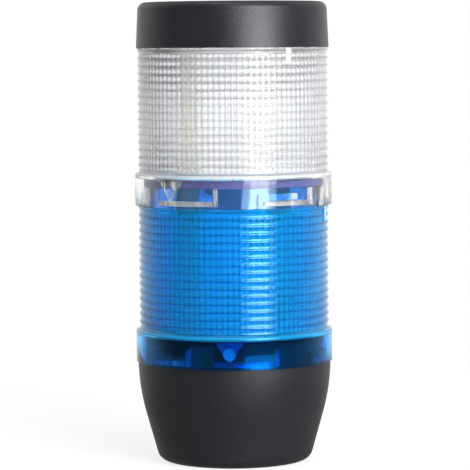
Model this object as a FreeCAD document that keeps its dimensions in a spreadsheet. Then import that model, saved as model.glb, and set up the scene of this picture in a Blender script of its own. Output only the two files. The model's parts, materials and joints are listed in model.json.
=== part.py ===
import FreeCAD, Part
import math
import operator
import os
import Sketcher

# Modular signal column: a tapered base, two ribbed and fluted lens modules and a cap.
# Each joint is a three-lug bayonet that is locked by turning the upper part clockwise.
# Millimetres, +Z up, origin at the centre of the foot. Angles run anticlockwise from +X.

driving = {
    # Lens moulding
    "band_dia": 70.0,
    "band_height": 11.6,
    "band_round": 0.6,
    "skirt_wall": 2.0,
    "module_pitch": 55.6,
    "crest_step": 1.1,
    "rib_depth": 0.55,
    "rib_count": 16,
    "collar_height": 0.8,
    "lens_wall": 2.3,
    "roof_wall": 2.0,
    "flute_count": 98,
    "flute_depth": 0.3,
    "flute_share": 0.4,
    "ledge_width": 1.3,
    "key_span": 3.1,
    "key_length": 5.4,
    "key_angle": 265.8,
    # Neck, seal and bayonet
    "neck_wall": 1.5,
    "neck_height": 7.2,
    "seal_height": 2.5,
    "seal_lap": 0.6,
    "bayonet_room": 1.8,
    "slide_gap": 0.3,
    "lug_count": 3,
    "lug_angle": 92.3,
    "lug_span": 24.0,
    "lug_rise": 3.0,
    "lug_height": 2.2,
    "stop_span": 2.4,
    "hook_span": 34.0,
    "catch_span": 2.0,
    "catch_height": 7.0,
    "rail_back": 67.5,
    "rail_span": 38.0,
    "upright_span": 2.2,
    "latch_back": 58.0,
    "latch_level": 5.5,
    "latch_dia": 4.4,
    "latch_width": 10.6,
    "latch_wall": 0.7,
    "latch_boss": 1.05,
    "latch_tail": 1.6,
    "hook_height": 1.8,
    "hook_gap": 0.2,
    "lock_gap": 1.0,
    "module_turn": 37.6,
    # Cage of boards inside each module
    "fit_gap": 0.2,
    "carrier_height": 2.0,
    "blue_board_width": 8.0,
    "clear_board_width": 4.6,
    "board_thickness": 1.2,
    "blue_left_offset": 16.3,
    "blue_right_offset": 16.3,
    "clear_left_offset": 16.0,
    "clear_right_offset": 12.1,
    "board_top_gap": 0.4,
    "led_count": 6,
    "led_width": 3.5,
    "led_height": 2.8,
    "led_depth": 0.8,
    "puck_dia": 23.0,
    "end_puck_dia": 44.0,
    "puck_height": 2.0,
    "arm_width": 5.0,
    "contact_rise": 4.2,
    "ring_count": 3,
    "ring_inner": 5.4,
    "ring_step": 3.4,
    "ring_width": 1.6,
    "ring_height": 0.6,
    "pin_dia": 1.2,
    "pin_head_dia": 2.4,
    "pin_head_height": 0.8,
    "pin_gap": 0.05,
    # Base
    "base_height": 35.7,
    "base_step": 0.7,
    "flank_step": 3.35,
    "flank_level": 17.1,
    "foot_dia": 53.7,
    "foot_round": 4.1,
    "flank_radius": 71.6,
    "base_wall": 3.4,
    "seat_drop": 1.4,
    "seat_height": 3.0,
    "floor_level": 3.0,
    "floor_height": 3.0,
    "plate_dia": 44.0,
    "plate_lift": 0.4,
    "cable_dia": 8.0,
    "grommet_dia": 14.0,
    "grommet_flange": 1.6,
    "grommet_flange_height": 2.4,
    "foot_seal_dia": 20.0,
    "foot_seal_width": 3.5,
    "foot_seal_height": 1.4,
    "bolt_circle": 36.0,
    "boss_dia": 9.0,
    "boss_height": 7.0,
    "insert_dia": 5.6,
    "insert_length": 8.0,
    "insert_bore": 3.3,
    "bolt_clearance": 4.5,
    "screw_turn": 60,
    "screw_dia": 2.9,
    "screw_length": 8.0,
    "screw_head_dia": 5.4,
    "screw_head_height": 1.4,
    "screw_slot": 0.8,
    "press_gap": 0.02,
    "terminal_length": 30.0,
    "terminal_width": 12.0,
    "terminal_height": 10.0,
    "pole_count": 5,
    "pole_bore": 3.0,
    "pole_screw_dia": 3.6,
    "pole_screw_height": 1.0,
    # Cap
    "cap_step": 0.8,
    "cap_taper": 0.75,
    "cap_height": 16.1,
    "cap_roof": 2.5,
    "cap_draft": 0.15,
    "cap_round": 2.8,
}

doc = FreeCAD.newDocument("stack_light")
sheet = doc.addObject("Spreadsheet::Sheet", "Dims")
for row, (alias, number) in enumerate(driving.items(), start=1):
    sheet.set(f"A{row}", alias)
    sheet.set(f"B{row}", str(number))
    sheet.setAlias(f"B{row}", alias)
doc.recompute()


class Size:
    """A number together with the expression that keeps it bound to the sheet."""

    def __init__(self, value, text):
        self.value = value
        self.text = text

    def __add__(self, other):
        return combined(self, "+", other)

    def __radd__(self, other):
        return combined(other, "+", self)

    def __sub__(self, other):
        return combined(self, "-", other)

    def __rsub__(self, other):
        return combined(other, "-", self)

    def __mul__(self, other):
        return combined(self, "*", other)

    def __rmul__(self, other):
        return combined(other, "*", self)

    def __truediv__(self, other):
        return combined(self, "/", other)

    def __neg__(self):
        return combined(0, "-", self)


signs = {"+": operator.add, "-": operator.sub, "*": operator.mul, "/": operator.truediv}


def as_size(number):
    return number if isinstance(number, Size) else Size(number, repr(number))


def combined(left, sign, right):
    first, second = as_size(left), as_size(right)
    return Size(signs[sign](first.value, second.value), f"({first.text} {sign} {second.text})")


def dim(alias):
    return Size(driving[alias], f"Dims.{alias}")


def bind(target, path, number):
    target.setExpression(path, as_size(number).text)


# Radii and levels that several pieces share
band_r = dim("band_dia") / 2
skirt_r = band_r - dim("skirt_wall")
crest_r = band_r - dim("crest_step")
root_r = crest_r - dim("rib_depth")
bore_r = root_r - dim("lens_wall") - dim("flute_depth")
neck_r = skirt_r - dim("bayonet_room")
neck_bore_r = neck_r - dim("neck_wall")
ledge_r = neck_bore_r - dim("ledge_width")
cage_r = neck_bore_r - dim("fit_gap")
web_level = dim("neck_height") + dim("seal_height")
rib_length = dim("module_pitch") - dim("band_height") - dim("collar_height")
carrier_top = dim("band_height") + dim("carrier_height")
ring_level = dim("contact_rise") + dim("ring_height")
puck_level = dim("module_pitch") + dim("contact_rise") - dim("puck_height")
blue_level = dim("base_height")
clear_level = dim("base_height") + dim("module_pitch")
cap_level = dim("base_height") + dim("module_pitch") * 2
hook_angle = dim("lug_angle") + dim("module_turn")


def new_body(label):
    body = doc.addObject("PartDesign::Body", label)
    body.Label = label
    return body


def origin_feature(body, role):
    return next(item for item in body.Origin.OriginFeatures if item.Role == role)


def sketch_on(body, name, role, lift=None, turn=None):
    """An empty sketch on one of the body's own planes, lifted along or turned about its normal axis."""
    sketch = body.newObject("Sketcher::SketchObject", name)
    sketch.AttachmentSupport = [(origin_feature(body, role), "")]
    sketch.MapMode = "FlatFace"
    if lift is not None:
        bind(sketch, "AttachmentOffset.Base.z", lift)
    if turn is not None:
        upright = FreeCAD.Vector(0, 1, 0)
        sketch.AttachmentOffset = FreeCAD.Placement(FreeCAD.Vector(), FreeCAD.Rotation(upright, turn.value))
        bind(sketch, "AttachmentOffset.Rotation.Angle", turn)
    return sketch


def hold(sketch, kind, index, end, number):
    """Bind one coordinate of a point to the sheet."""
    size = as_size(number)
    held = sketch.addConstraint(Sketcher.Constraint(kind, -1, 1, index, end, size.value))
    bind(sketch, f"Constraints[{held}]", size)


def add_outline(sketch, points, arcs=None):
    """A closed anticlockwise outline. arcs maps the index of a side to the radius it bulges out with."""
    sizes = [(as_size(x), as_size(y)) for x, y in points]
    places = [FreeCAD.Vector(x.value, y.value, 0) for x, y in sizes]
    first = sketch.GeometryCount
    for index, start in enumerate(places):
        finish = places[(index + 1) % len(places)]
        radius = (arcs or {}).get(index)
        if radius is None:
            sketch.addGeometry(Part.LineSegment(start, finish))
            continue
        chord = finish - start
        outward = FreeCAD.Vector(chord.y, -chord.x, 0).normalize()
        sagitta = radius.value - math.sqrt(radius.value**2 - chord.Length**2 / 4)
        middle = (start + finish) * 0.5 + outward * sagitta
        sketch.addGeometry(Part.Arc(start, middle, finish))
    for index in range(len(places)):
        after = first + (index + 1) % len(places)
        sketch.addConstraint(Sketcher.Constraint("Coincident", first + index, 2, after, 1))
    for index, (x, y) in enumerate(sizes):
        hold(sketch, "DistanceX", first + index, 1, x)
        hold(sketch, "DistanceY", first + index, 1, y)
    for index, radius in (arcs or {}).items():
        held = sketch.addConstraint(Sketcher.Constraint("Radius", first + index, radius.value))
        bind(sketch, f"Constraints[{held}]", radius)


def revolved(body, name, points, arcs=None, turn=None, span=None):
    """A section of radius and height turned about Z, all round or over a span of degrees."""
    sketch = sketch_on(body, f"{name}_section", "XZ_Plane", turn=turn)
    add_outline(sketch, points, arcs)
    feature = body.newObject("PartDesign::Revolution", name)
    feature.Profile = sketch
    feature.ReferenceAxis = (sketch, ["V_Axis"])
    feature.Angle = 360
    if span is not None:
        bind(feature, "Angle", span)
    return feature


def around(body, feature, count):
    """Repeat a feature evenly about Z."""
    pattern = body.newObject("PartDesign::PolarPattern", f"{feature.Name}_ring")
    pattern.Originals = [feature]
    pattern.Axis = (origin_feature(body, "Z_Axis"), [""])
    pattern.Angle = 360
    bind(pattern, "Occurrences", count)
    body.Tip = pattern
    return pattern


def sector_ring(body, name, inner, outer, low, high, start, span):
    """Blocks of a ring, one for each bayonet lug, from a start angle over a span."""
    points = [(inner, low), (outer, low), (outer, high), (inner, high)]
    block = revolved(body, name, points, turn=start, span=span)
    return around(body, block, dim("lug_count"))


def padded(body, name, points, low, height, cut=False):
    """A flat outline raised from a level, or cut upwards from it."""
    sketch = sketch_on(body, f"{name}_outline", "XY_Plane", lift=low)
    add_outline(sketch, points)
    return extruded(body, name, sketch, height, cut)


def padded_round(body, name, x, y, radius, low, height, cut=False):
    """A round boss or hole standing on a level."""
    sketch = sketch_on(body, f"{name}_outline", "XY_Plane", lift=low)
    size = as_size(radius)
    centre = FreeCAD.Vector(as_size(x).value, as_size(y).value, 0)
    sketch.addGeometry(Part.Circle(centre, FreeCAD.Vector(0, 0, 1), size.value))
    hold(sketch, "DistanceX", 0, 3, x)
    hold(sketch, "DistanceY", 0, 3, y)
    held = sketch.addConstraint(Sketcher.Constraint("Radius", 0, size.value))
    bind(sketch, f"Constraints[{held}]", size)
    return extruded(body, name, sketch, height, cut)


def extruded(body, name, sketch, height, cut):
    feature = body.newObject("PartDesign::Pocket" if cut else "PartDesign::Pad", name)
    feature.Profile = sketch
    bind(feature, "Length", height)
    feature.Reversed = cut
    return feature


def rounded(body, name, feature, radius, level, wanted_r):
    """Round the circular edge that lies at a level and has a radius."""
    doc.recompute()
    names = [
        f"Edge{number}"
        for number, edge in enumerate(feature.Shape.Edges, start=1)
        if hasattr(edge.Curve, "Radius")
        and abs(edge.Curve.Radius - wanted_r.value) < 1e-4
        and abs(edge.CenterOfMass.z - as_size(level).value) < 1e-4
    ]
    fillet = body.newObject("PartDesign::Fillet", name)
    fillet.Base = (feature, names)
    bind(fillet, "Radius", radius)
    return fillet


def placed(target, level, turn=None):
    if turn is not None:
        upright = FreeCAD.Vector(0, 0, 1)
        target.Placement = FreeCAD.Placement(FreeCAD.Vector(), FreeCAD.Rotation(upright, turn.value))
        bind(target, "Placement.Rotation.Angle", turn)
    bind(target, "Placement.Base.z", level)
    return target


def add_lugs(body, shoulder, start):
    """Three lugs outside a neck, each with a stop at its locked end."""
    inner = neck_r - dim("neck_wall") / 2
    outer = skirt_r - dim("slide_gap")
    lug_low = shoulder + dim("lug_rise")
    lug_high = lug_low + dim("lug_height")
    sector_ring(body, "lug", inner, outer, lug_low, lug_high, start, dim("lug_span"))
    sector_ring(body, "stop", inner, outer, shoulder, lug_high, start - dim("stop_span"), dim("stop_span"))


def add_hooks(body):
    """Inside a skirt: three hooks that turn in under the lugs below, and three rails that guide the neck."""
    inner = neck_r + dim("slide_gap")
    outer = skirt_r + dim("skirt_wall") / 4
    high = dim("lug_rise") - dim("hook_gap")
    low = high - dim("hook_height")
    wall_high = dim("catch_height")
    start = hook_angle + dim("lock_gap")
    sector_ring(body, "hook", inner, outer, low, high, start, dim("hook_span"))
    sector_ring(body, "catch", inner, outer, low, wall_high, start + dim("hook_span"), dim("catch_span"))
    start = hook_angle - dim("rail_back")
    sector_ring(body, "rail", inner, outer, low, high, start, dim("rail_span"))
    sector_ring(body, "upright", inner, outer, low, wall_high, start + dim("rail_span"), dim("upright_span"))


def sketch_facing(body, name, angle, distance):
    """An empty upright sketch that faces outwards at an angle about Z, at a distance from the axis."""
    turn = angle + 90
    sketch = sketch_on(body, name, "XZ_Plane", turn=turn)
    for side, share in (("x", math.sin), ("z", math.cos)):
        amount = share(math.radians(turn.value))
        place = Size(distance.value * amount, f"({distance.text} * {share.__name__}({turn.text}))")
        bind(sketch, f"AttachmentOffset.Base.{side}", place)
    return sketch


def add_latches(body):
    """On the skirt above each rail: a tapered spring tab that ends in a round boss, with a short tail."""
    angle = hook_angle - dim("latch_back")
    root = skirt_r + dim("skirt_wall") / 4
    plane = skirt_r - dim("latch_wall")
    half = dim("latch_dia") / 2
    low = dim("latch_level")
    tab = sketch_facing(body, "latch_tab_outline", angle, plane)
    wide = dim("latch_width") / 2
    high = web_level + dim("fit_gap")
    add_outline(tab, [(-half, low), (half, low), (wide, high), (-wide, high)])
    around(body, extruded(body, "latch_tab", tab, root - plane, False), dim("lug_count"))
    tail = sketch_facing(body, "latch_tail_outline", angle, plane)
    thin = dim("latch_tail") / 2
    bottom = dim("lug_rise") - dim("hook_gap") - dim("fit_gap")
    add_outline(tail, [(-thin, bottom), (thin, bottom), (thin, low), (-thin, low)])
    around(body, extruded(body, "latch_tail", tail, root - plane, False), dim("lug_count"))
    front = skirt_r - dim("latch_boss")
    boss = sketch_facing(body, "latch_boss_outline", angle, front)
    boss.addGeometry(Part.Circle(FreeCAD.Vector(0, low.value, 0), FreeCAD.Vector(0, 0, 1), half.value))
    hold(boss, "DistanceX", 0, 3, 0)
    hold(boss, "DistanceY", 0, 3, low)
    held = boss.addConstraint(Sketcher.Constraint("Radius", 0, half.value))
    bind(boss, f"Constraints[{held}]", half)
    around(body, extruded(body, "latch_boss", boss, root - front, False), dim("lug_count"))


def make_lens(prefix, level, turn):
    """One moulding: skirt band with hooks, web, ribbed and fluted barrel, neck with lugs."""
    body = new_body(f"{prefix}_lens")
    pitch = rib_length / dim("rib_count")
    ribs = []
    for index in range(driving["rib_count"]):
        ribs.append((root_r, dim("band_height") + pitch * index))
        ribs.append((crest_r, dim("band_height") + pitch * (index + 0.5)))
    collar_level = dim("module_pitch") - dim("collar_height")
    roof_level = dim("module_pitch") - dim("roof_wall")
    neck_top = dim("module_pitch") + dim("neck_height")
    outside = [
        (skirt_r, 0),
        (band_r, 0),
        (band_r, dim("band_height") - dim("band_round")),
        (band_r - dim("band_round"), dim("band_height")),
    ]
    top = [
        (root_r, collar_level),
        (crest_r, collar_level),
        (crest_r, dim("module_pitch")),
        (neck_r, dim("module_pitch")),
        (neck_r, neck_top),
        (neck_bore_r, neck_top),
    ]
    inside = [
        (neck_bore_r, roof_level),
        (bore_r, roof_level),
        (bore_r, dim("band_height")),
        (ledge_r, dim("band_height")),
        (ledge_r, web_level),
        (skirt_r, web_level),
    ]
    revolved(body, "wall", outside + ribs + top + inside, arcs={2: dim("band_round")})

    key_low = dim("module_pitch") - dim("key_length")
    key = [(root_r - dim("rib_depth"), key_low), (crest_r, key_low)]
    key += [(crest_r, collar_level), (root_r - dim("rib_depth"), collar_level)]
    revolved(body, "key", key, turn=dim("key_angle"), span=dim("key_span"))
    add_lugs(body, dim("module_pitch"), dim("lug_angle"))
    add_hooks(body)
    add_latches(body)

    half_width = bore_r * (math.pi / driving["flute_count"]) * dim("flute_share")
    # The outline starts inside the bore, so its sides are drawn out to keep the slope of the flute.
    flute = [
        (bore_r - dim("flute_depth"), -(half_width * 2)),
        (bore_r + dim("flute_depth"), 0),
        (bore_r - dim("flute_depth"), half_width * 2),
    ]
    groove = padded(body, "flute", flute, dim("band_height"), roof_level - dim("band_height"), cut=True)
    around(body, groove, dim("flute_count"))
    return placed(body, level, turn)


def make_seal(prefix, shoulder):
    """Flat ring on top of a neck, pressed by the web above it."""
    body = new_body(f"{prefix}_seal")
    inner = neck_bore_r + dim("fit_gap")
    outer = neck_r + dim("seal_lap")
    high = dim("seal_height")
    revolved(body, "ring", [(inner, 0), (outer, 0), (outer, high), (inner, high)])
    return placed(body, shoulder + dim("neck_height"))


def make_carrier(prefix, level):
    """Floor disc of the cage, resting on the ledge of the lens."""
    body = new_body(f"{prefix}_carrier")
    high = dim("carrier_height")
    padded_round(body, "disc", 0, 0, cage_r, 0, high)
    for index in range(driving["ring_count"]):
        x, y = pin_place(index)
        hole_r = dim("pin_dia") / 2 + dim("pin_gap")
        padded_round(body, f"pin_hole_{index + 1}", x, y, hole_r, 0, high, cut=True)
    return placed(body, level + dim("band_height"))


def ring_r(index):
    """Middle radius of a contact ring."""
    return dim("ring_inner") / 2 + dim("ring_step") * index + dim("ring_width") / 2


def pin_place(index):
    """Where the contact pin of a ring stands."""
    angle = math.radians(90 + 360 * index / driving["ring_count"])
    return ring_r(index) * round(math.cos(angle), 9), ring_r(index) * round(math.sin(angle), 9)


def new_box(name, size_x, size_y, size_z, x, y, z):
    box = doc.addObject("Part::Box", name)
    for path, number in (("Length", size_x), ("Width", size_y), ("Height", size_z)):
        bind(box, path, number)
    for axis, number in (("x", x), ("y", y), ("z", z)):
        bind(box, f"Placement.Base.{axis}", number)
    return box


def new_cylinder(name, radius, height, x, y, z):
    cylinder = doc.addObject("Part::Cylinder", name)
    bind(cylinder, "Radius", radius)
    bind(cylinder, "Height", height)
    for axis, number in (("x", x), ("y", y), ("z", z)):
        bind(cylinder, f"Placement.Base.{axis}", number)
    return cylinder


def new_group(label, pieces):
    """Several like solids in one node."""
    group = doc.addObject("Part::Compound", label)
    group.Links = pieces
    group.Label = label
    return group


def board_place(prefix, side):
    """Distance of a board's middle line from the axis, to the left or the right."""
    name = "right" if side > 0 else "left"
    return dim(f"{prefix}_{name}_offset") * side


def make_board(prefix, side, level, top):
    """Upright board that carries current to the contact rings and holds the lights."""
    name = f"{prefix}_{'right' if side > 0 else 'left'}_board"
    width = dim(f"{prefix}_board_width")
    x = board_place(prefix, side) - width / 2
    y = -(dim("board_thickness") / 2)
    board = new_box(name, width, dim("board_thickness"), top - carrier_top, x, y, 0)
    board.Label = name
    bind(board, "Placement.Base.z", level + carrier_top)
    return board


def make_leds(prefix, level):
    """Small lights in rows on both faces of both boards."""
    first = dim("carrier_height") * 2
    room = dim("module_pitch") - dim("roof_wall") - carrier_top - first * 2
    step = room / (driving["led_count"] - 1)
    pieces = []
    for side in (-1, 1):
        for face in (-1, 1):
            for row in range(driving["led_count"]):
                x = board_place(prefix, side) - dim("led_width") / 2
                y = (dim("board_thickness") / 2 + dim("led_depth") / 2) * face - dim("led_depth") / 2
                z = first + step * row - dim("led_height") / 2
                name = f"{prefix}_led_{len(pieces) + 1}"
                pieces.append(new_box(name, dim("led_width"), dim("led_depth"), dim("led_height"), x, y, z))
    return placed(new_group(f"{prefix}_leds", pieces), level + carrier_top)


def make_puck(prefix, level):
    """Round contact holder between the upper ends of the boards, with an arm to each of them."""
    body = new_body(f"{prefix}_contact_puck")
    high = dim("puck_height")
    padded_round(body, "disc", 0, 0, dim("puck_dia") / 2, 0, high)
    inner = dim(f"{prefix}_board_width") / 2
    left = board_place(prefix, -1) + inner
    right = board_place(prefix, 1) - inner
    half = dim("arm_width") / 2
    padded(body, "arms", [(left, -half), (right, -half), (right, half), (left, half)], 0, high)
    return placed(body, level + puck_level)


def make_end_puck(prefix, level):
    """Wide contact holder of the last module, standing on the boards and closing the view to the cap."""
    body = new_body(f"{prefix}_contact_puck")
    padded_round(body, "disc", 0, 0, dim("end_puck_dia") / 2, 0, dim("puck_height"))
    return placed(body, level + puck_level)


def make_rings(prefix, shoulder):
    """Concentric contact rings, so that the pins above keep touch at every angle."""
    body = new_body(f"{prefix}_contact_rings")
    half = dim("ring_width") / 2
    sketch = sketch_on(body, "rings_section", "XZ_Plane")
    for index in range(driving["ring_count"]):
        inner, outer, high = ring_r(index) - half, ring_r(index) + half, dim("ring_height")
        add_outline(sketch, [(inner, 0), (outer, 0), (outer, high), (inner, high)])
    feature = body.newObject("PartDesign::Revolution", "rings")
    feature.Profile = sketch
    feature.ReferenceAxis = (sketch, ["V_Axis"])
    feature.Angle = 360
    return placed(body, shoulder + dim("contact_rise"))


def make_pins(prefix, level):
    """Contact pins that hang through the carrier onto the rings below."""
    length = carrier_top - ring_level
    pins = []
    for index in range(driving["ring_count"]):
        x, y = pin_place(index)
        shank = new_cylinder(f"{prefix}_shank_{index + 1}", dim("pin_dia") / 2, length, x, y, 0)
        head_r = dim("pin_head_dia") / 2
        head = new_cylinder(f"{prefix}_head_{index + 1}", head_r, dim("pin_head_height"), x, y, length)
        pin = doc.addObject("Part::Fuse", f"{prefix}_pin_{index + 1}")
        pin.Base = shank
        pin.Tool = head
        pins.append(pin)
    return placed(new_group(f"{prefix}_contact_pins", pins), level + ring_level)


def bolt_place(index, angle_shift):
    """A place on the bolt circle, every 120 degrees."""
    angle = math.radians(90 + angle_shift + 120 * index)
    radius = dim("bolt_circle") / 2
    return radius * round(math.cos(angle), 9), radius * round(math.sin(angle), 9)


floor_top = dim("floor_level") + dim("floor_height")
seat_low = dim("base_height") - dim("seat_drop")
seat_top = seat_low + dim("seat_height")
fixing_depth = dim("insert_length") + dim("press_gap")


def make_base_housing():
    """Black tapered moulding with the first neck, the carrier's seat, a floor and six screw bosses."""
    body = new_body("base_housing")
    top_r = band_r - dim("base_step")
    flank_r = band_r - dim("flank_step")
    neck_top = dim("base_height") + dim("neck_height")
    cavity_r = skirt_r - dim("base_wall")
    floor_r = dim("foot_dia") / 2 - dim("base_wall") / 2
    plate_r = dim("plate_dia") / 2 + dim("fit_gap")
    opening_r = dim("grommet_dia") / 2 + dim("grommet_flange") + dim("fit_gap")
    section = [
        (plate_r, 0),
        (dim("foot_dia") / 2, 0),
        (flank_r, dim("flank_level")),
        (top_r, dim("base_height")),
        (neck_r, dim("base_height")),
        (neck_r, neck_top),
        (neck_bore_r, neck_top),
        (neck_bore_r, seat_top),
        (ledge_r, seat_top),
        (ledge_r, seat_low),
        (cavity_r, seat_low),
        (cavity_r, dim("flank_level")),
        (floor_r, floor_top),
        (opening_r, floor_top),
        (opening_r, dim("floor_level")),
        (plate_r, dim("floor_level")),
    ]
    shell = revolved(body, "shell", section, arcs={2: dim("flank_radius")})
    rounded(body, "foot_edge", shell, dim("foot_round"), 0, dim("foot_dia") / 2)
    kinds = (("insert", 0, dim("insert_dia")), ("screw", driving["screw_turn"], dim("screw_dia")))
    for index in range(3):
        for kind, shift, filled in kinds:
            x, y = bolt_place(index, shift)
            low = dim("floor_level")
            boss_high = dim("floor_height") + dim("boss_height")
            padded_round(body, f"{kind}_boss_{index + 1}", x, y, dim("boss_dia") / 2, low, boss_high)
            hole_r = filled / 2 + dim("press_gap")
            padded_round(body, f"{kind}_hole_{index + 1}", x, y, hole_r, low, fixing_depth, cut=True)
    add_lugs(body, dim("base_height"), dim("lug_angle") + dim("module_turn") * 3)
    return body


def make_base_plate():
    """Mounting plate under the floor, with the bolt holes, the cable hole and the foot seal's groove."""
    body = new_body("base_plate")
    high = dim("floor_level") - dim("plate_lift")
    hole_r = dim("grommet_dia") / 2 + dim("press_gap")
    groove_inner = dim("foot_seal_dia") / 2 - dim("press_gap")
    groove_outer = dim("foot_seal_dia") / 2 + dim("foot_seal_width") + dim("press_gap")
    groove_high = dim("foot_seal_height") - dim("plate_lift")
    section = [
        (hole_r, 0),
        (groove_inner, 0),
        (groove_inner, groove_high),
        (groove_outer, groove_high),
        (groove_outer, 0),
        (dim("plate_dia") / 2, 0),
        (dim("plate_dia") / 2, high),
        (hole_r, high),
    ]
    revolved(body, "disc", section)
    for index in range(3):
        x, y = bolt_place(index, 0)
        padded_round(body, f"bolt_hole_{index + 1}", x, y, dim("bolt_clearance") / 2, 0, high, cut=True)
        x, y = bolt_place(index, driving["screw_turn"])
        shank_r = dim("screw_dia") / 2 + dim("press_gap")
        padded_round(body, f"screw_hole_{index + 1}", x, y, shank_r, 0, high, cut=True)
        head_r = dim("screw_head_dia") / 2 + dim("fit_gap")
        padded_round(body, f"screw_recess_{index + 1}", x, y, head_r, 0, dim("screw_head_height"), cut=True)
    return placed(body, dim("plate_lift"))


def make_foot_seal():
    body = new_body("foot_seal")
    inner = dim("foot_seal_dia") / 2
    outer = inner + dim("foot_seal_width")
    high = dim("foot_seal_height")
    revolved(body, "ring", [(inner, 0), (outer, 0), (outer, high), (inner, high)])
    return body


def make_cable_grommet():
    """Rubber bush in the plate, held from above by its flange."""
    body = new_body("cable_grommet")
    bore = dim("cable_dia") / 2
    outer = dim("grommet_dia") / 2
    flange = outer + dim("grommet_flange")
    low = dim("floor_level") - dim("plate_lift")
    high = low + dim("grommet_flange_height")
    revolved(body, "bush", [(bore, 0), (outer, 0), (outer, low), (flange, low), (flange, high), (bore, high)])
    return placed(body, dim("plate_lift"))


def make_mounting_inserts():
    """Threaded brass bushes in three of the bosses."""
    pieces = []
    for index in range(3):
        x, y = bolt_place(index, 0)
        sleeve = new_cylinder(f"sleeve_{index + 1}", dim("insert_dia") / 2, dim("insert_length"), x, y, 0)
        bore = new_cylinder(f"tap_{index + 1}", dim("insert_bore") / 2, dim("insert_length"), x, y, 0)
        insert = doc.addObject("Part::Cut", f"insert_{index + 1}")
        insert.Base = sleeve
        insert.Tool = bore
        pieces.append(insert)
    return placed(new_group("mounting_inserts", pieces), dim("floor_level"))


def make_plate_screws():
    """Slotted screws that hold the plate to the housing."""
    pieces = []
    for index in range(3):
        x, y = bolt_place(index, driving["screw_turn"])
        head_r = dim("screw_head_dia") / 2
        head = new_cylinder(f"screw_head_{index + 1}", head_r, dim("screw_head_height"), x, y, 0)
        shank = new_cylinder(f"screw_shank_{index + 1}", dim("screw_dia") / 2, dim("screw_length"), x, y, 0)
        whole = doc.addObject("Part::Fuse", f"screw_{index + 1}")
        whole.Base = head
        whole.Tool = shank
        slot_x = x - head_r
        slot_y = y - dim("screw_slot") / 2
        slot_high = dim("screw_head_height") / 2
        slot = new_box(f"slot_{index + 1}", head_r * 2, dim("screw_slot"), slot_high, slot_x, slot_y, 0)
        screw = doc.addObject("Part::Cut", f"slotted_screw_{index + 1}")
        screw.Base = whole
        screw.Tool = slot
        pieces.append(screw)
    return placed(new_group("plate_screws", pieces), dim("plate_lift"))


def make_base_carrier():
    """Contact holder that closes the top of the base."""
    body = new_body("base_carrier")
    disc_high = dim("carrier_height")
    boss_high = dim("base_height") + dim("contact_rise") - seat_top
    padded_round(body, "disc", 0, 0, cage_r, 0, disc_high)
    padded_round(body, "boss", 0, 0, dim("puck_dia") / 2, 0, boss_high)
    return placed(body, seat_top)


def pole_x(index):
    """Middle of one pole of the terminal block."""
    return dim("terminal_length") * ((index + 0.5) / driving["pole_count"] - 0.5)


def make_terminal_block():
    """Terminal block under the base carrier, open to the cable below."""
    body = new_body("terminal_block")
    half_x = dim("terminal_length") / 2
    half_y = dim("terminal_width") / 2
    outline = [(-half_x, -half_y), (half_x, -half_y), (half_x, half_y), (-half_x, half_y)]
    padded(body, "block", outline, 0, dim("terminal_height"))
    for index in range(driving["pole_count"]):
        depth = dim("terminal_height") * 0.7
        padded_round(body, f"pole_{index + 1}", pole_x(index), 0, dim("pole_bore") / 2, 0, depth, cut=True)
    return placed(body, seat_top - dim("terminal_height"))


def make_terminal_screws():
    """Clamp screws on the front of the terminal block, one for each pole."""
    pieces = []
    front = -(dim("terminal_width") / 2)
    middle = dim("terminal_height") / 2
    for index in range(driving["pole_count"]):
        head = doc.addObject("Part::Cylinder", f"clamp_screw_{index + 1}")
        head.Placement = FreeCAD.Placement(FreeCAD.Vector(), FreeCAD.Rotation(FreeCAD.Vector(1, 0, 0), 90))
        bind(head, "Radius", dim("pole_screw_dia") / 2)
        bind(head, "Height", dim("pole_screw_height"))
        bind(head, "Placement.Base.x", pole_x(index))
        bind(head, "Placement.Base.y", front)
        bind(head, "Placement.Base.z", middle)
        pieces.append(head)
    return placed(new_group("terminal_screws", pieces), seat_top - dim("terminal_height"))


def make_cap(level):
    """Plain black cap with a rounded top edge and the last set of hooks."""
    body = new_body("cap")
    outer_r = band_r - dim("cap_step")
    top_r = outer_r - dim("cap_taper")
    roof = dim("cap_height") - dim("cap_roof")
    section = [
        (skirt_r, 0),
        (outer_r, 0),
        (top_r, dim("cap_height")),
        (0, dim("cap_height")),
        (0, roof),
        (ledge_r, roof),
        (ledge_r, web_level),
        (skirt_r - dim("cap_draft"), web_level),
    ]
    shell = revolved(body, "shell", section)
    rounded(body, "top_edge", shell, dim("cap_round"), dim("cap_height"), top_r)
    add_hooks(body)
    return placed(body, level)


def make_module(prefix, level, turns, last=False):
    """One light module: the lens and the cage inside it."""
    neck_top = dim("module_pitch") + dim("neck_height")
    board_top = puck_level if last else neck_top - dim("board_top_gap")
    return [
        make_lens(prefix, level, dim("module_turn") * turns),
        make_seal(prefix, level + dim("module_pitch")),
        make_carrier(prefix, level),
        make_board(prefix, -1, level, board_top),
        make_board(prefix, 1, level, board_top),
        make_leds(prefix, level),
        make_end_puck(prefix, level) if last else make_puck(prefix, level),
        make_rings(prefix, level + dim("module_pitch")),
        make_pins(prefix, level),
    ]


sub_parts = [
    make_base_housing(),
    make_base_plate(),
    make_foot_seal(),
    make_cable_grommet(),
    make_mounting_inserts(),
    make_plate_screws(),
    make_base_carrier(),
    make_rings("base", dim("base_height")),
    make_seal("base", dim("base_height")),
    make_terminal_block(),
    make_terminal_screws(),
]
sub_parts += make_module("blue", blue_level, 2)
sub_parts += make_module("clear", clear_level, 1, last=True)
sub_parts.append(make_cap(cap_level))

doc.recompute()
for item in doc.Objects:
    if "Invalid" in item.State or "Error" in item.State:
        raise RuntimeError(f"{item.Label} failed: {item.State}")
for sub_part in sub_parts:
    if sub_part.Shape.isNull() or not sub_part.Shape.isValid():
        raise RuntimeError(f"{sub_part.Label} has no valid shape")

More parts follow.
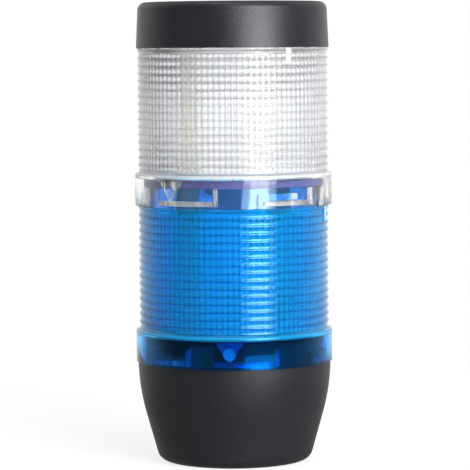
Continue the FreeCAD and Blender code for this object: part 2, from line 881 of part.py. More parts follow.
os.makedirs("parts", exist_ok=True)
for sub_part in sub_parts:
    sub_part.Shape.exportStep(os.path.join("parts", f"{sub_part.Label}.step"))
    print(f"{sub_part.Label}: {len(sub_part.Shape.Solids)} solid(s), {sub_part.Shape.Volume:.1f} mm3")
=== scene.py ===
import json
import math
import bpy
from mathutils import Matrix, Vector


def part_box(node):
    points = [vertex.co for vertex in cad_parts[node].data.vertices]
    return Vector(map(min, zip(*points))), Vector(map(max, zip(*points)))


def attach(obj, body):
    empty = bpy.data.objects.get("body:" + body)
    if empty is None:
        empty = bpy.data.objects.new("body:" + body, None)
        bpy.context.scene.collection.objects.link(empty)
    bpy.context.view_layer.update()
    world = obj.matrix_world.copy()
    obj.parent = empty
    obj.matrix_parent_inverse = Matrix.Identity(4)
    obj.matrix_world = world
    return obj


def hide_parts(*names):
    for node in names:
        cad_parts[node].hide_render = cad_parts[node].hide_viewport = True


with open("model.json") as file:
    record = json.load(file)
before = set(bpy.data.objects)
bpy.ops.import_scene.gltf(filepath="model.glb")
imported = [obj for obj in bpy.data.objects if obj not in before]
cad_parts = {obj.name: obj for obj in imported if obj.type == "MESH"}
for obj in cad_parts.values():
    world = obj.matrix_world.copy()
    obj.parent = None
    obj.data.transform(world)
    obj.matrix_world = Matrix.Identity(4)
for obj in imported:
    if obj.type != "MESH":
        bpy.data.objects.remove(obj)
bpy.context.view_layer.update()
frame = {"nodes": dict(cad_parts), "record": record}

nodes = frame["nodes"]
scene = bpy.context.scene
print("frame loaded")


def mm(value):
    return value / 1000


def link(tree, source, target):
    tree.links.new(source, target)


def fill(tree, socket, value):
    # a socket is joined to another one, or set to a plain value
    if isinstance(value, bpy.types.NodeSocket):
        link(tree, value, socket)
    elif value is not None:
        socket.default_value = value


def addNode(tree, kind, inputs=None, **settings):
    node = tree.nodes.new(kind)
    for name, value in settings.items():
        setattr(node, name, value)
    for name, value in (inputs or {}).items():
        fill(tree, node.inputs[name], value)
    return node


def calc(tree, operation, first, second=None, third=None):
    node = tree.nodes.new("ShaderNodeMath")
    node.operation = operation
    for index, value in enumerate((first, second, third)):
        fill(tree, node.inputs[index], value)
    return node.outputs[0]


def remap(tree, value, span, result=(0.0, 1.0)):
    node = addNode(tree, "ShaderNodeMapRange", {"Value": value, "From Min": span[0], "From Max": span[1],
                                                "To Min": result[0], "To Max": result[1]})
    return node.outputs[0]


def mixColours(tree, share, first, second):
    node = addNode(tree, "ShaderNodeMix", {0: share, 6: first, 7: second}, data_type="RGBA")
    return node.outputs[2]


def addNoise(tree, place, scale, detail):
    return addNode(tree, "ShaderNodeTexNoise", {"Vector": place, "Scale": scale, "Detail": detail}).outputs[0]


def newMaterial(name, **values):
    material = bpy.data.materials.new(name)
    material.use_nodes = True
    tree = material.node_tree
    shader = tree.nodes["Principled BSDF"]
    for socket, value in values.items():
        shader.inputs[socket.replace("_", " ")].default_value = value
    return material, tree, shader


def objectPlace(tree):
    return addNode(tree, "ShaderNodeTexCoord").outputs["Object"]


surface = {
    "grainDetail": 3.0,
    "patchScale": 60.0,
    "patchDetail": 4.0,
    "patchSpan": (0.3, 0.7),
    "levelSpan": (0.7, 0.98),
    "mottleDetail": 5.0,
    "mottleSpan": (0.35, 0.65),
    "trackPitch": mm(1.3),
    "trackFrom": 0.55,
}


def addGrain(tree, shader, grains, baseRoughness, swing, topRoughness=0.0):
    # fine moulded grain: bump from noises, and patches where the roughness swings
    place = objectPlace(tree)
    normal = None
    for scale, strength, distance in grains:
        height = addNoise(tree, place, scale, surface["grainDetail"])
        bump = addNode(tree, "ShaderNodeBump", {"Strength": strength, "Distance": distance, "Height": height,
                                                "Normal": normal})
        normal = bump.outputs[0]
    link(tree, normal, shader.inputs["Normal"])
    patches = addNoise(tree, place, surface["patchScale"], surface["patchDetail"])
    spread = remap(tree, patches, surface["patchSpan"], (baseRoughness - swing, baseRoughness + swing))
    # level faces can be coarser than the walls
    facing = addNode(tree, "ShaderNodeNewGeometry").outputs["Normal"]
    upward = addNode(tree, "ShaderNodeSeparateXYZ", {"Vector": facing}).outputs[2]
    level = remap(tree, upward, surface["levelSpan"])
    link(tree, calc(tree, "MULTIPLY_ADD", level, topRoughness, spread), shader.inputs["Roughness"])


def addMottle(tree, colour, scale, depth, stretch=(1, 1, 1)):
    # the colour wanders a little, finely or in long streaks
    place = addNode(tree, "ShaderNodeMapping", {"Vector": objectPlace(tree), "Scale": stretch}).outputs[0]
    share = remap(tree, addNoise(tree, place, scale, surface["mottleDetail"]), surface["mottleSpan"])
    return mixColours(tree, share, (*colour, 1), (*[part * (1 - depth) for part in colour], 1))


def texturedPlastic(name, colour, roughness):
    material, tree, shader = newMaterial(name, Base_Color=(*colour, 1), IOR=1.5, Specular_IOR_Level=0.38,
                                         Specular_Tint=(0.9, 0.94, 1.0, 1))
    grains = [(2300.0, 1.0, mm(0.09)), (900.0, 0.25, mm(0.08))]
    addGrain(tree, shader, grains, roughness, swing=0.05, topRoughness=0.5)
    return material


def clearPlastic(name, colour, paintedShade, glint):
    # see-through, and milky where the frost attribute says so; painted shade mixes the base colour towards a darker
    # one where the second attribute says so, in place of the dark lines that refraction draws
    material, tree, shader = newMaterial(name, IOR=1.58, Roughness=0.02, Specular_Tint=(*glint, 1))
    frost = addNode(tree, "ShaderNodeAttribute", attribute_name="frost").outputs["Fac"]
    link(tree, calc(tree, "SUBTRACT", 1.0, frost), shader.inputs["Transmission Weight"])
    paintedShadeAmount = addNode(tree, "ShaderNodeAttribute", attribute_name="paintedShade").outputs["Fac"]
    link(tree, mixColours(tree, paintedShadeAmount, (*colour, 1), (*paintedShade, 1)), shader.inputs["Base Color"])
    return material


def plainFinish(name, colour, roughness, transmission=0.0, depth=0.12):
    material, tree, shader = newMaterial(name, Metallic=0.0, Transmission_Weight=transmission)
    addGrain(tree, shader, [(1400.0, 0.15, mm(0.03))], roughness, swing=0.06)
    link(tree, addMottle(tree, colour, 450.0, depth), shader.inputs["Base Color"])
    return material


def turnedMetal(name, colour, roughness):
    # fine tool marks that run round the axis, with a little tarnish
    material, tree, shader = newMaterial(name, Metallic=1.0)
    addGrain(tree, shader, [(3200.0, 0.2, mm(0.01))], roughness, swing=0.08)
    link(tree, addMottle(tree, colour, 260.0, 0.3, (0.15, 0.15, 9.0)), shader.inputs["Base Color"])
    return material


def boardFinish(name, colour, track, roughness):
    # thin laminate that lets some light through, with printed tracks up its length
    material, tree, shader = newMaterial(name, Roughness=roughness, Transmission_Weight=0.4)
    across = addNode(tree, "ShaderNodeSeparateXYZ", {"Vector": objectPlace(tree)}).outputs[0]
    wave = calc(tree, "SINE", calc(tree, "MULTIPLY", across, math.tau / surface["trackPitch"]))
    onTrack = calc(tree, "GREATER_THAN", wave, surface["trackFrom"])
    mixed = mixColours(tree, onTrack, addMottle(tree, colour, 700.0, 0.15), (*track, 1))
    link(tree, mixed, shader.inputs["Base Color"])
    return material


finishes = {
    "base_plastic": texturedPlastic("basePlastic", (0.0075, 0.0078, 0.009), 0.42),
    "cap_plastic": texturedPlastic("capPlastic", (0.006, 0.0066, 0.008), 0.38),
    # each lens's second colour is painted shade, used for its groove and ridge lines
    "blue_polycarbonate": clearPlastic("bluePolycarbonate", colour=(0.015, 0.48, 0.985), paintedShade=(0.0, 0.06, 0.35),
                                       glint=(0.25, 0.55, 0.9)),
    "clear_polycarbonate": clearPlastic("clearPolycarbonate", colour=(0.972, 0.988, 0.993), paintedShade=(0.45, 0.47, 0.5),
                                        glint=(0.5, 0.5, 0.5)),
    "seal_rubber": plainFinish("sealRubber", (0.02, 0.02, 0.02), 0.7, depth=0.4),
    "module_seal_rubber": plainFinish("moduleSealRubber", (0.1, 0.11, 0.36), 0.6, depth=0.2),
    "carrier_plastic": plainFinish("carrierPlastic", (0.8, 0.82, 0.83), 0.4, depth=0.05),
    "puck_plastic": plainFinish("puckPlastic", (0.85, 0.88, 0.9), 0.3, transmission=0.4, depth=0.05),
    "board_laminate": boardFinish("boardLaminate", (0.66, 0.7, 0.42), (0.72, 0.74, 0.55), 0.35),
    "led_resin": plainFinish("ledResin", (0.95, 0.9, 0.7), 0.3, depth=0.1),
    "contact_brass": turnedMetal("contactBrass", (0.85, 0.65, 0.3), 0.25),
    "insert_brass": turnedMetal("insertBrass", (0.8, 0.6, 0.28), 0.35),
    "screw_steel": turnedMetal("screwSteel", (0.65, 0.65, 0.66), 0.3),
    "terminal_plastic": plainFinish("terminalPlastic", (0.05, 0.25, 0.1), 0.4),
}

for part in frame["record"]["subparts"]:
    mesh = nodes[part["node"]].data
    mesh.materials.clear()
    mesh.materials.append(finishes[part["material_slot"]])
print("finishes set on the frame")


# lengths in metres, angles and spans in degrees
lens = {
    "bandRadius": mm(35.0),
    "bandHeight": mm(11.6),
    "bandRound": mm(0.9),
    "bandStep": mm(0.4),
    "skirtRadius": mm(33.0),
    "modulePitch": mm(55.6),
    "edgeRound": mm(0.25),
    "crestRadius": mm(33.9),
    "ribDepth": mm(0.55),
    "ribCount": 16,
    "ribTip": 0.86,
    "ribSoftness": 0.25,
    "collarHeight": mm(0.8),
    "boreRadius": mm(30.55),
    "boreInset": mm(0.05),
    "fluteDepth": mm(0.22),
    "fluteCount": 98,
    "flutePower": 8.0,
    "fluteFoot": mm(0.4),
    "fluteHead": mm(0.2),
    "roofWall": mm(2.0),
    "neckRadius": mm(31.2),
    "neckBore": mm(29.7),
    "neckHeight": mm(7.2),
    "ledgeRadius": mm(28.4),
    "webLevel": mm(9.7),
    "columnsPerFlute": 5,
    "rowsPerRib": 8,
    "weldDistance": mm(0.002),
    "crispAngle": 40,
}

bayonet = {
    "count": 3,
    "slideGap": mm(0.3),
    "wallLap": mm(0.5),
    "endLap": mm(0.2),
    "lugRise": mm(3.0),
    "lugHeight": mm(2.2),
    "lugAngle": 92.3,
    "lugSpan": 24.0,
    "stopSpan": 2.4,
    "stopLap": 0.1,
    "hookHeight": mm(1.8),
    "hookGap": mm(0.2),
    "hookSpan": 34.0,
    "catchSpan": 2.0,
    "catchHeight": mm(7.0),
    "railBack": 67.5,
    "railSpan": 38.0,
    "uprightSpan": 2.2,
    "lockGap": 1.0,
    "moduleTurn": 37.6,
    "latchBack": 58.0,
    "latchLevel": mm(5.5),
    "latchRadius": mm(2.2),
    "latchWidth": mm(10.6),
    "latchWall": mm(0.7),
    "latchBoss": mm(1.05),
    "latchTail": mm(1.6),
    "bossStep": mm(0.25),
    "bossTip": 0.72,
    "keyAngle": 265.8,
    "keySpan": 3.1,
    "keyLength": mm(5.4),
    "keyDepth": mm(1.1),
}

# how milky the moulding is, and how strong the painted shade is along the lens's grooves and ridges: frost as
# (hooks, latches)
frostAndPaintedShade = {
    "wallFrost": 0.15,
    "collarFrost": 0.15,
    "ledgeFrost": 0.3,
    "ledgeFoot": mm(0.5),
    "ledgeHead": mm(0.01),
    "blueFrost": (0.3, 0.8),
    "clearFrost": (0.85, 0.3),
    # grooves and ridges get painted shade, a darker base colour in place of the dark lines that refraction draws
    # there
    "grooveFrom": 0.5,
    "groovePaintedShade": 1.5,
    "ridgeFrom": 0.7,
    "ridgePaintedShade": 0.65,
}


def cornerRound(centreR, centreZ, radius, startAngle, endAngle, steps):
    points = []
    for step in range(steps + 1):
        angle = math.radians(startAngle + (endAngle - startAngle) * step / steps)
        points.append((centreR + radius * math.cos(angle), centreZ + radius * math.sin(angle)))
    return points


def lensSection():
    # the closed section as (radius, height, rib share, flute share), anticlockwise
    s = lens
    small = s["edgeRound"]
    roof = s["modulePitch"] - s["roofWall"]
    neckTop = s["modulePitch"] + s["neckHeight"]
    ribTop = s["modulePitch"] - s["collarHeight"]
    rootRadius = s["crestRadius"] - s["ribDepth"]
    roundRadius = s["bandRadius"] - s["bandRound"]
    roundLevel = s["bandHeight"] - s["bandRound"]
    outline = []

    def add(points, rib=0.0, flute=0.0):
        outline.extend((r, z, rib, flute) for r, z in points)

    add(cornerRound(s["skirtRadius"] + small, small, small, 180, 270, 3))
    add(cornerRound(s["bandRadius"] - small, small, small, 270, 360, 3))
    add([(s["bandRadius"], s["webLevel"] + s["bandStep"])])
    add(cornerRound(roundRadius, roundLevel, s["bandRound"], 0, 90, 6))
    rows = s["ribCount"] * s["rowsPerRib"]
    step = (ribTop - s["bandHeight"]) / rows
    add([(rootRadius, s["bandHeight"] + step * (row + 0.5)) for row in range(rows)], rib=1.0)
    add([(s["crestRadius"], ribTop), (s["crestRadius"], s["modulePitch"] - small)])
    add([(s["crestRadius"] - small, s["modulePitch"]), (s["neckRadius"], s["modulePitch"])])
    add(cornerRound(s["neckRadius"] - small, neckTop - small, small, 0, 90, 3))
    add(cornerRound(s["neckBore"] + small, neckTop - small, small, 90, 180, 3))
    add([(s["neckBore"], roof), (s["boreRadius"] - s["boreInset"], roof)])
    add([(s["boreRadius"], roof - s["fluteHead"]), (s["boreRadius"], s["bandHeight"] + s["fluteFoot"])], flute=1.0)
    add([(s["boreRadius"] - s["boreInset"], s["bandHeight"]), (s["ledgeRadius"], s["bandHeight"])])
    add([(s["ledgeRadius"], s["webLevel"]), (s["skirtRadius"], s["webLevel"])])
    return outline


def frostAt(r, z):
    # how milky the wall is at a point of the section: 0 is clear, 1 is opaque
    roof = lens["modulePitch"] - lens["roofWall"]
    if lens["bandHeight"] < z < roof:
        return frostAndPaintedShade["wallFrost"]
    if z > roof and r > lens["neckRadius"]:
        return frostAndPaintedShade["collarFrost"]
    if lens["webLevel"] + frostAndPaintedShade["ledgeFoot"] < z < lens["bandHeight"] + frostAndPaintedShade["ledgeHead"]:
        return frostAndPaintedShade["ledgeFrost"]
    return 0.0


def sectionMesh(name):
    outline = lensSection()
    mesh = bpy.data.meshes.new(name)
    mesh.from_pydata([(r, 0, z) for r, z, rib, flute in outline], [], [])
    shares = {
        "ribShare": [rib for r, z, rib, flute in outline],
        "fluteShare": [flute for r, z, rib, flute in outline],
        "frostShare": [frostAt(r, z) for r, z, rib, flute in outline],
    }
    for key, values in shares.items():
        layer = mesh.attributes.new(key, "FLOAT", "POINT")
        layer.data.foreach_set("value", values)
    return mesh


class GeometryTree:
    # a geometry node tree with named inputs
    def __init__(self, name):
        self.tree = bpy.data.node_groups.new(name, "GeometryNodeTree")
        self.tree.interface.new_socket(name="Geometry", in_out="INPUT", socket_type="NodeSocketGeometry")
        self.tree.interface.new_socket(name="Geometry", in_out="OUTPUT", socket_type="NodeSocketGeometry")
        self.values = {}
        self.start = self.tree.nodes.new("NodeGroupInput")
        self.end = self.tree.nodes.new("NodeGroupOutput")

    def addInput(self, name, value):
        kind = "NodeSocketInt" if isinstance(value, int) else "NodeSocketFloat"
        kind = "NodeSocketMaterial" if isinstance(value, bpy.types.Material) else kind
        socket = self.tree.interface.new_socket(name=name, in_out="INPUT", socket_type=kind)
        self.values[socket.identifier] = value
        return self.start.outputs[name]

    def add(self, kind, inputs=None, **settings):
        return addNode(self.tree, kind, inputs, **settings)

    def calc(self, operation, first, second=None, third=None):
        return calc(self.tree, operation, first, second, third)

    def attribute(self, name):
        return self.add("GeometryNodeInputNamedAttribute", {"Name": name}, data_type="FLOAT").outputs[0]

    def stored(self, geometry, name, amount, domain="FACE"):
        node = self.add("GeometryNodeStoreNamedAttribute", {"Geometry": geometry, "Name": name, "Value": amount},
                        data_type="FLOAT", domain=domain)
        return node.outputs[0]

    def polar(self, radius, angle, height):
        # the point at a radius, an angle about the axis and a height
        x = self.calc("MULTIPLY", radius, self.calc("COSINE", angle))
        y = self.calc("MULTIPLY", radius, self.calc("SINE", angle))
        return self.add("ShaderNodeCombineXYZ", {"X": x, "Y": y, "Z": height}).outputs[0]

    def moved(self, geometry, place):
        return self.add("GeometryNodeSetPosition", {"Geometry": geometry, "Position": place}).outputs[0]

    def makeMesh(self, name, source):
        holder = bpy.data.objects.new(name + "Source", source)
        scene.collection.objects.link(holder)
        modifier = holder.modifiers.new("build", "NODES")
        modifier.node_group = self.tree
        for identifier, value in self.values.items():
            modifier[identifier] = value
        holder.update_tag()
        depsgraph = bpy.context.evaluated_depsgraph_get()
        mesh = bpy.data.meshes.new_from_object(holder.evaluated_get(depsgraph))
        mesh.name = name
        piece = bpy.data.objects.new(name, mesh)
        scene.collection.objects.link(piece)
        bpy.data.objects.remove(holder)
        return piece


def spreadAround(gn, block, copies):
    # copies of a block, evenly about the axis
    points = gn.add("GeometryNodePoints", {"Count": copies})
    index = gn.add("GeometryNodeInputIndex").outputs[0]
    rotation = gn.add("ShaderNodeCombineXYZ", {"Z": gn.calc("MULTIPLY", index, math.tau / copies)})
    instances = gn.add("GeometryNodeInstanceOnPoints", {"Points": points.outputs[0], "Instance": block,
                                                        "Rotation": rotation.outputs[0]})
    return gn.add("GeometryNodeRealizeInstances", {"Geometry": instances.outputs[0]}).outputs[0]


def polarBlock(gn, radii, levels, start, span, copies=bayonet["count"], topSpan=None):
    # a block bent round the axis, with a wider or narrower top if asked
    inner, outer = radii
    low, high = levels
    cube = gn.add("GeometryNodeMeshCube", {"Size": (1, 1, 1), "Vertices X": 13, "Vertices Y": 3, "Vertices Z": 3})
    place = gn.add("GeometryNodeInputPosition").outputs[0]
    split = gn.add("ShaderNodeSeparateXYZ", {"Vector": place})
    along = split.outputs[0]
    across, up = (gn.calc("ADD", split.outputs[index], 0.5) for index in (1, 2))
    width = gn.calc("MULTIPLY_ADD", up, (span if topSpan is None else topSpan) - span, span)
    angle = gn.calc("RADIANS", gn.calc("MULTIPLY_ADD", along, width, start + span / 2))
    radius = gn.calc("MULTIPLY_ADD", across, outer - inner, inner)
    height = gn.calc("MULTIPLY_ADD", up, high - low, low)
    return spreadAround(gn, gn.moved(cube.outputs[0], gn.polar(radius, angle, height)), copies)


def roundBoss(gn, radius, inner, outer, level, angle):
    # a short round stub that points outwards
    stub = gn.add("GeometryNodeMeshCylinder", {"Vertices": 40, "Radius": radius, "Depth": outer - inner})
    turn = math.radians(angle)
    middle = (inner + outer) / 2
    place = (middle * math.cos(turn), middle * math.sin(turn), level)
    turned = gn.add("GeometryNodeTransform", {"Geometry": stub.outputs[0], "Translation": place,
                                              "Rotation": (0, math.radians(90), turn)})
    return spreadAround(gn, turned.outputs[0], bayonet["count"])


def latheWall(gn):
    # the section swept about the axis on a polar grid, with ribs outside and flutes inside
    s = lens
    profile = gn.start.outputs["Geometry"]
    fluteCount = gn.addInput("Flute Count", s["fluteCount"])
    fluteDepth = gn.addInput("Flute Depth", s["fluteDepth"])
    ribPitch = gn.addInput("Rib Pitch", (s["modulePitch"] - s["collarHeight"] - s["bandHeight"]) / s["ribCount"])
    ribDepth = gn.addInput("Rib Depth", s["ribDepth"])
    ribStart = gn.addInput("Rib Start", s["bandHeight"])
    rows = len(lensSection())
    columns = s["fluteCount"] * s["columnsPerFlute"]

    grid = gn.add("GeometryNodeMeshGrid", {"Size X": 1.0, "Size Y": 1.0, "Vertices X": columns + 1,
                                           "Vertices Y": rows + 1})
    place = gn.add("ShaderNodeSeparateXYZ", {"Vector": gn.add("GeometryNodeInputPosition").outputs[0]})
    turnShare, rowShare = (gn.calc("ADD", place.outputs[index], 0.5) for index in (0, 1))
    row = gn.calc("MODULO", gn.calc("ROUND", gn.calc("MULTIPLY", rowShare, rows)), rows)

    def sampled(value, kind):
        node = gn.add("GeometryNodeSampleIndex", {"Geometry": profile, "Index": row}, data_type=kind)
        link(gn.tree, value, node.inputs["Value"])
        return node.outputs[0]

    ribShare, fluteShare, frostShare = (sampled(gn.attribute(name), "FLOAT")
                                        for name in ("ribShare", "fluteShare", "frostShare"))
    point = gn.add("ShaderNodeSeparateXYZ", {"Vector": sampled(gn.add("GeometryNodeInputPosition").outputs[0],
                                                               "FLOAT_VECTOR")})
    radius, height = point.outputs[0], point.outputs[2]

    def fromMiddle(share, power):
        # 0 in the middle of each pitch and 1 at its ends
        return gn.calc("POWER", gn.calc("ABSOLUTE", gn.calc("MULTIPLY_ADD", share, 2.0, -1.0)), power)

    def relief(shape, depth, share):
        return gn.calc("MULTIPLY", gn.calc("MULTIPLY", shape, depth), share)

    # scallops between narrow ridges, whose tips are softened
    bowl = fromMiddle(gn.calc("FRACT", gn.calc("DIVIDE", gn.calc("SUBTRACT", height, ribStart), ribPitch)), 2.0)
    ridge = gn.calc("SMOOTH_MIN", bowl, s["ribTip"], s["ribSoftness"])
    # wide flats on the bore, with narrow grooves between them
    swell = fromMiddle(gn.calc("FRACT", gn.calc("MULTIPLY", turnShare, fluteCount)), s["flutePower"])
    full = gn.calc("ADD", radius, relief(ridge, ribDepth, ribShare))
    full = gn.calc("ADD", full, relief(swell, fluteDepth, fluteShare))

    # painted shade: the base colour is darkened along the bore's grooves and the ribs' ridges, in place of the dark
    # lines that refraction draws there
    inGroove = gn.calc("MULTIPLY", gn.calc("GREATER_THAN", swell, frostAndPaintedShade["grooveFrom"]), fluteShare)
    onRidge = gn.calc("MULTIPLY", gn.calc("GREATER_THAN", bowl, frostAndPaintedShade["ridgeFrom"]), ribShare)
    ridgePaintedAmount = gn.calc("MULTIPLY", onRidge, frostAndPaintedShade["ridgePaintedShade"])
    paintedShadeAmount = gn.calc("MULTIPLY_ADD", inGroove, frostAndPaintedShade["groovePaintedShade"], ridgePaintedAmount)

    # stored on the flat grid, because the samples need its places, then passed to the faces
    wall = gn.stored(grid.outputs[0], "frost", frostShare, "POINT")
    wall = gn.stored(wall, "paintedShade", paintedShadeAmount, "POINT")
    wall = gn.moved(wall, gn.polar(full, gn.calc("MULTIPLY", turnShare, math.tau), height))
    wall = gn.add("GeometryNodeMergeByDistance", {"Geometry": wall, "Distance": s["weldDistance"]}).outputs[0]
    for name in ("frost", "paintedShade"):
        wall = gn.stored(wall, name, gn.attribute(name))
    return wall


def hookBlocks(gn):
    # lugs and stops on the neck, hooks, catches, rails and uprights in the skirt, and the key on the barrel
    s, b = lens, bayonet
    shoulder = s["modulePitch"]
    lugLow = shoulder + b["lugRise"]
    lugHigh = lugLow + b["lugHeight"]
    hookHigh = b["lugRise"] - b["hookGap"]
    hookLow = hookHigh - b["hookHeight"]
    hookStart = b["lugAngle"] + b["moduleTurn"] + b["lockGap"]
    railStart = b["lugAngle"] + b["moduleTurn"] - b["railBack"]
    neck = ((s["neckRadius"] + s["neckBore"]) / 2, s["skirtRadius"] - b["slideGap"])
    skirt = (s["neckRadius"] + b["slideGap"], s["skirtRadius"] + b["wallLap"])
    barrel = (s["crestRadius"] - b["keyDepth"], s["crestRadius"])
    foot = (hookLow, hookHigh)
    upright = (hookLow, b["catchHeight"])
    stop = (shoulder - b["endLap"], lugHigh)
    key = (shoulder - b["keyLength"], shoulder - s["collarHeight"] / 2)
    return [
        polarBlock(gn, neck, (lugLow, lugHigh), b["lugAngle"], b["lugSpan"]),
        polarBlock(gn, neck, stop, b["lugAngle"] - b["stopSpan"], b["stopSpan"] + b["stopLap"]),
        polarBlock(gn, skirt, foot, hookStart, b["hookSpan"]),
        polarBlock(gn, skirt, upright, hookStart + b["hookSpan"], b["catchSpan"]),
        polarBlock(gn, skirt, foot, railStart, b["railSpan"]),
        polarBlock(gn, skirt, upright, railStart + b["railSpan"], b["uprightSpan"]),
        polarBlock(gn, barrel, key, b["keyAngle"], b["keySpan"], copies=1),
    ]


def latchBlocks(gn):
    # above each rail a tapered tab, a short tail and a stepped round boss
    s, b = lens, bayonet
    level = b["latchLevel"]
    angle = b["lugAngle"] + b["moduleTurn"] - b["latchBack"]
    outer = s["skirtRadius"] + b["wallLap"]
    plate = (s["skirtRadius"] - b["latchWall"], outer)
    front = s["skirtRadius"] - b["latchBoss"]
    degrees = 180 / math.pi / s["skirtRadius"]
    tabSpan = b["latchRadius"] * 2 * degrees
    tailSpan = b["latchTail"] * degrees
    tab = (level, s["webLevel"] + b["endLap"])
    tail = (b["lugRise"] - b["hookGap"] - b["endLap"], level)
    return [
        polarBlock(gn, plate, tab, angle - tabSpan / 2, tabSpan, topSpan=b["latchWidth"] * degrees),
        polarBlock(gn, plate, tail, angle - tailSpan / 2, tailSpan),
        roundBoss(gn, b["latchRadius"], front + b["bossStep"], outer, level, angle),
        roundBoss(gn, b["latchRadius"] * b["bossTip"], front, outer, level, angle),
    ]


def lensTree(material, blockFrost):
    gn = GeometryTree("lensBody")
    whole = latheWall(gn)
    finish = gn.addInput("Finish", material)
    hookFrost = gn.addInput("Hook Frost", blockFrost[0])
    latchFrost = gn.addInput("Latch Frost", blockFrost[1])
    blocks = [gn.stored(block, "frost", hookFrost) for block in hookBlocks(gn)]
    blocks += [gn.stored(block, "frost", latchFrost) for block in latchBlocks(gn)]
    for block in blocks:
        union = gn.add("GeometryNodeMeshBoolean", operation="UNION", solver="MANIFOLD")
        link(gn.tree, whole, union.inputs["Mesh 2"])
        link(gn.tree, block, union.inputs["Mesh 2"])
        whole = union.outputs[0]

    edgeAngle = gn.add("GeometryNodeInputMeshEdgeAngle").outputs[0]
    sharp = gn.add("FunctionNodeCompare", {0: edgeAngle, 1: math.radians(lens["crispAngle"])}, data_type="FLOAT",
                   operation="GREATER_THAN").outputs[0]
    smooth = gn.add("GeometryNodeSetShadeSmooth", {"Geometry": whole, "Shade Smooth": True}, domain="FACE")
    crisp = gn.add("GeometryNodeSetShadeSmooth", {"Geometry": smooth.outputs[0], "Selection": sharp,
                                                  "Shade Smooth": False}, domain="EDGE")
    solid = gn.add("GeometryNodeRealizeInstances", {"Geometry": crisp.outputs[0]})
    coated = gn.add("GeometryNodeSetMaterial", {"Geometry": solid.outputs[0], "Material": finish})
    link(gn.tree, coated.outputs[0], gn.end.inputs["Geometry"])
    return gn


def makeLens(colour, level, turn):
    gn = lensTree(finishes[f"{colour}_polycarbonate"], frostAndPaintedShade[f"{colour}Frost"])
    piece = gn.makeMesh(f"{colour}LensShell", sectionMesh(f"{colour}Section"))
    piece.data.transform(Matrix.Translation((0, 0, level)) @ Matrix.Rotation(math.radians(turn), 4, "Z"))
    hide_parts(f"{colour}_lens")
    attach(piece, f"{colour}_module")
    print(f"{piece.name}: {len(piece.data.vertices)} vertices, {len(piece.data.polygons)} faces")


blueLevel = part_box("blue_lens")[0].z
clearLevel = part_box("clear_lens")[0].z
makeLens("blue", blueLevel, bayonet["moduleTurn"] * 2)
makeLens("clear", clearLevel, bayonet["moduleTurn"])
print("lens modules made")


studio = {
    "floorColour": (0.86, 0.87, 0.88),
    "floorSize": 6.0,
    "floorDrop": mm(0.05),
    "shadowSpan": (0.05, 0.3),
    "shadowWhite": 0.8,
    "floorRoomSpan": (-0.1, 0.3),
    "roomSpan": (-0.2, 0.35),
    "roomLight": 0.12,
    "ceilingSpan": (0.2, 0.6),
    "ceilingLight": 0.6,
    "skyLight": 0.62,
    "aimHeight": 0.08,
}

# angles from the front, towards the right
lights = {
    "keyPanel": {"angle": 32.0, "distance": 1.1, "height": 0.35, "width": 0.85, "tall": 1.1, "power": 17.6},
    "keyCore": {"angle": 32.0, "distance": 1.08, "height": 0.42, "width": 0.4675, "tall": 0.77, "power": 14.4},
    "fillPanel": {"angle": -55.0, "distance": 1.3, "height": 0.3, "width": 0.6, "tall": 0.8, "power": 0.5},
    "topPanel": {"angle": 0.0, "distance": 0.25, "height": 1.2, "width": 0.7, "tall": 0.7, "power": 4.0},
}

camera = {
    "distance": 0.951,
    "eyeAboveFloor": 0.1469,
    "pitch": 4.011,
    "yaw": -0.029,
    "roll": -0.43,
    "lens": 204.8,
    "sensor": 36.0,
    "clipStart": 0.05,
}


def makeFloor():
    half = studio["floorSize"] / 2
    mesh = bpy.data.meshes.new("floor")
    mesh.from_pydata([(-half, -half, 0), (half, -half, 0), (half, half, 0), (-half, half, 0)], [], [(0, 1, 2, 3)])
    floor = bpy.data.objects.new("floor", mesh)
    scene.collection.objects.link(floor)
    floor.location.z = -studio["floorDrop"]
    material, tree, shader = newMaterial("paleFloor", Base_Color=(*studio["floorColour"], 1), Roughness=0.6)
    paths = addNode(tree, "ShaderNodeLightPath")
    place = objectPlace(tree)
    # the white takes over with distance, so only the shadow near the foot is left
    away = addNode(tree, "ShaderNodeVectorMath", {0: place}, operation="LENGTH").outputs["Value"]
    share = remap(tree, away, studio["shadowSpan"], (studio["shadowWhite"], 1.0))
    seen = calc(tree, "MAXIMUM", paths.outputs["Is Camera Ray"], paths.outputs["Is Transmission Ray"])
    # mirrored, it is as dim in front and as white behind as the room is
    mirrored = paths.outputs["Is Glossy Ray"]
    behind = addNode(tree, "ShaderNodeSeparateXYZ", {"Vector": place}).outputs[1]
    room = remap(tree, behind, studio["floorRoomSpan"], (studio["roomLight"], 1.0))
    strength = addNode(tree, "ShaderNodeMix", {"Factor": mirrored, "A": 1.0, "B": room}).outputs[0]
    glow = addNode(tree, "ShaderNodeEmission", {"Color": (1, 1, 1, 1), "Strength": strength})
    glowShare = calc(tree, "MAXIMUM", calc(tree, "MULTIPLY", seen, share), mirrored)
    mix = addNode(tree, "ShaderNodeMixShader", {0: glowShare, 1: shader.outputs[0], 2: glow.outputs[0]})
    link(tree, mix.outputs[0], tree.nodes["Material Output"].inputs["Surface"])
    mesh.materials.append(material)


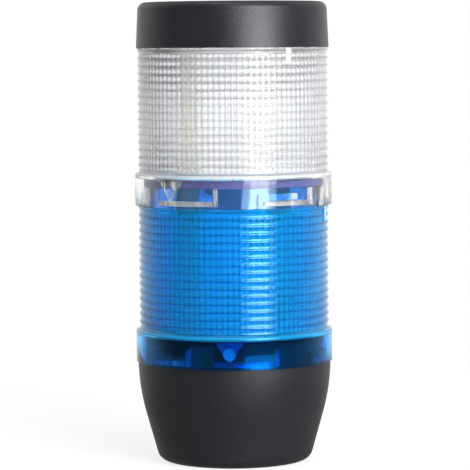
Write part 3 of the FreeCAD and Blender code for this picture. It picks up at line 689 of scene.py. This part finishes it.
def makeWorld():
    world = bpy.data.worlds.new("studio")
    scene.world = world
    world.use_nodes = True
    tree = world.node_tree
    background = tree.nodes["Background"]
    paths = addNode(tree, "ShaderNodeLightPath")
    # mirrored rays meet the white backdrop behind the column and a dim room in front of it,
    # and rays bent steeply by the lens meet a dim ceiling
    direction = addNode(tree, "ShaderNodeSeparateXYZ", {"Vector": addNode(tree, "ShaderNodeTexCoord").outputs[0]})
    room = remap(tree, direction.outputs[1], studio["roomSpan"], (studio["roomLight"], 1.0))
    slope = calc(tree, "ABSOLUTE", direction.outputs[2])
    ceiling = remap(tree, slope, studio["ceilingSpan"], (1.0, studio["ceilingLight"]))
    strength = studio["skyLight"]
    for flag, value in (("Is Glossy Ray", room), ("Is Transmission Ray", ceiling), ("Is Camera Ray", 1.0)):
        mix = addNode(tree, "ShaderNodeMix", {"Factor": paths.outputs[flag], "A": strength, "B": value})
        strength = mix.outputs[0]
    background.inputs["Color"].default_value = (1, 1, 1, 1)
    link(tree, strength, background.inputs["Strength"])


def makeLight(name, angle, distance, height, width, tall, power):
    # a soft panel that faces the column, at an angle round it from the front
    light = bpy.data.lights.new(name, "AREA")
    light.shape = "RECTANGLE"
    light.size = width
    light.size_y = tall
    light.energy = power
    lamp = bpy.data.objects.new(name, light)
    scene.collection.objects.link(lamp)
    turn = math.radians(angle)
    place = Vector((math.sin(turn) * distance, -math.cos(turn) * distance, height))
    lamp.location = place
    lamp.rotation_euler = (Vector((0, 0, studio["aimHeight"])) - place).to_track_quat("-Z", "Y").to_euler()


def makeCamera():
    data = bpy.data.cameras.new("view")
    data.lens = camera["lens"]
    data.sensor_width = camera["sensor"]
    data.clip_start = camera["clipStart"]
    viewer = bpy.data.objects.new("view", data)
    scene.collection.objects.link(viewer)
    turn = Matrix.Rotation(math.radians(camera["yaw"]), 4, "Z")
    tilt = Matrix.Rotation(math.radians(90 - camera["pitch"]), 4, "X")
    roll = Matrix.Rotation(math.radians(camera["roll"]), 4, "Z")
    place = Matrix.Translation((0, -camera["distance"], camera["eyeAboveFloor"]))
    viewer.matrix_world = place @ turn @ tilt @ roll
    scene.camera = viewer


makeFloor()
makeWorld()
for name, panel in lights.items():
    makeLight(name, **panel)
makeCamera()
scene.view_settings.view_transform = "Standard"
print("studio set")
